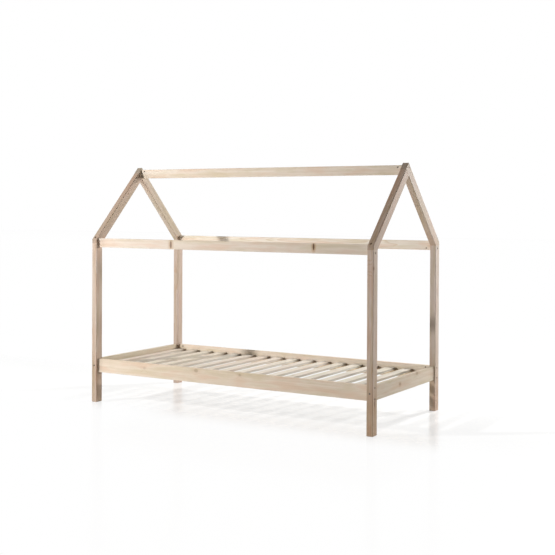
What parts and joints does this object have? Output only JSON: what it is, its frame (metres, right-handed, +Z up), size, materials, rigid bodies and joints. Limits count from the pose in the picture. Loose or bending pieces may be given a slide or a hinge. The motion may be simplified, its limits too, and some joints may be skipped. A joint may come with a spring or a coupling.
{
  "type": "house frame bed",
  "caption": "Single slatted bed for a child in bare pine, whose four posts carry rafters, eave rails and a ridge board as an open house-shaped frame.",
  "frame": {"origin": "on the floor, below the middle of the bed", "axes": "+X along the length of the bed to the end that is on the right in the picture, +Y from front to back, +Z up"},
  "size_m": [2.08, 0.986, 1.585],
  "materials": {
    "frame_pine": "bare, sanded",
    "base_pine": "bare, planed",
    "dowel_beech": "bare, ribbed",
    "zinc_steel": "zinc plated",
    "yellow_zinc_steel": "yellow passivated zinc"
  },
  "bodies": {
    "root": {"post_front_left": "frame_pine", "post_front_right": "frame_pine", "post_back_left": "frame_pine", "post_back_right": "frame_pine", "rafter_left_front": "frame_pine", "rafter_left_back": "frame_pine", "rafter_right_front": "frame_pine", "rafter_right_back": "frame_pine", "ridge_board": "frame_pine", "eave_rail_front": "frame_pine", "eave_rail_back": "frame_pine", "side_rail_front": "frame_pine", "side_rail_back": "frame_pine", "end_rail_left": "frame_pine", "end_rail_right": "frame_pine", "slat_ledger_front": "base_pine", "slat_ledger_back": "base_pine", "slat_01": "base_pine", "slat_02": "base_pine", "slat_03": "base_pine", "slat_04": "base_pine", "slat_05": "base_pine", "slat_06": "base_pine", "slat_07": "base_pine", "slat_08": "base_pine", "slat_09": "base_pine", "slat_10": "base_pine", "slat_11": "base_pine", "slat_12": "base_pine", "slat_13": "base_pine", "slat_14": "base_pine", "slat_15": "base_pine", "slat_16": "base_pine", "slat_17": "base_pine", "side_rail_bolts": "zinc_steel", "eave_rail_bolts": "zinc_steel", "ridge_bolts": "zinc_steel", "end_rail_bolts": "zinc_steel", "side_rail_barrel_nuts": "zinc_steel", "eave_rail_barrel_nuts": "zinc_steel", "ridge_barrel_nuts": "zinc_steel", "end_rail_barrel_nuts": "zinc_steel", "rafter_foot_screws": "yellow_zinc_steel", "apex_screws": "yellow_zinc_steel", "ledger_screws": "yellow_zinc_steel", "slat_screws": "yellow_zinc_steel", "end_rail_dowels": "dowel_beech", "ridge_dowels": "dowel_beech", "rafter_foot_dowels": "dowel_beech", "eave_rail_dowels": "dowel_beech", "apex_dowels": "dowel_beech"}
  },
  "joints": []
}
